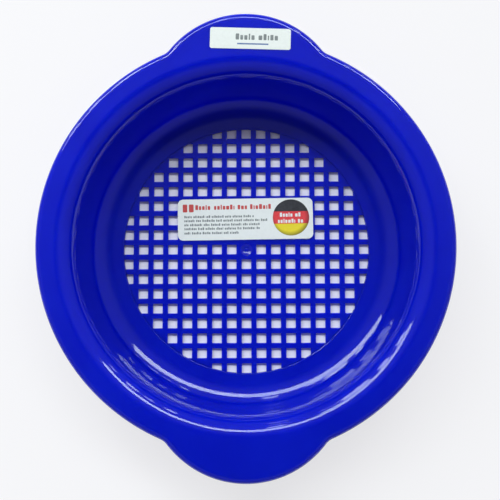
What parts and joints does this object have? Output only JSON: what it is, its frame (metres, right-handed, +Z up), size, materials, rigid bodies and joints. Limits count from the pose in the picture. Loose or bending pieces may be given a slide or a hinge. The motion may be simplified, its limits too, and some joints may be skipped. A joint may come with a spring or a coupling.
{
  "type": "sand sieve",
  "caption": "Round plastic sand sieve: a shallow bowl with a square mesh in its floor, a rim with a turned-down lip and a rounded handle at each end, for sifting sand.",
  "frame": {"origin": "middle of the underside, on the surface that the sieve stands on", "axes": "+Z up out of the bowl, +Y towards the handle that carries a label, +X to the right seen from above with that handle at the top"},
  "size_m": [0.2, 0.224, 0.0442],
  "materials": {
    "blue_plastic": "glossy moulded polypropylene, deep ultramarine",
    "label_paper": "satin coated label"
  },
  "bodies": {
    "root": {"mesh_floor": "blue_plastic", "floor_ring": "blue_plastic", "bowl_wall": "blue_plastic", "rim_right": "blue_plastic", "rim_left": "blue_plastic", "handle_back": "blue_plastic", "handle_front": "blue_plastic", "handle_label": "label_paper", "floor_label": "label_paper"}
  },
  "joints": []
}
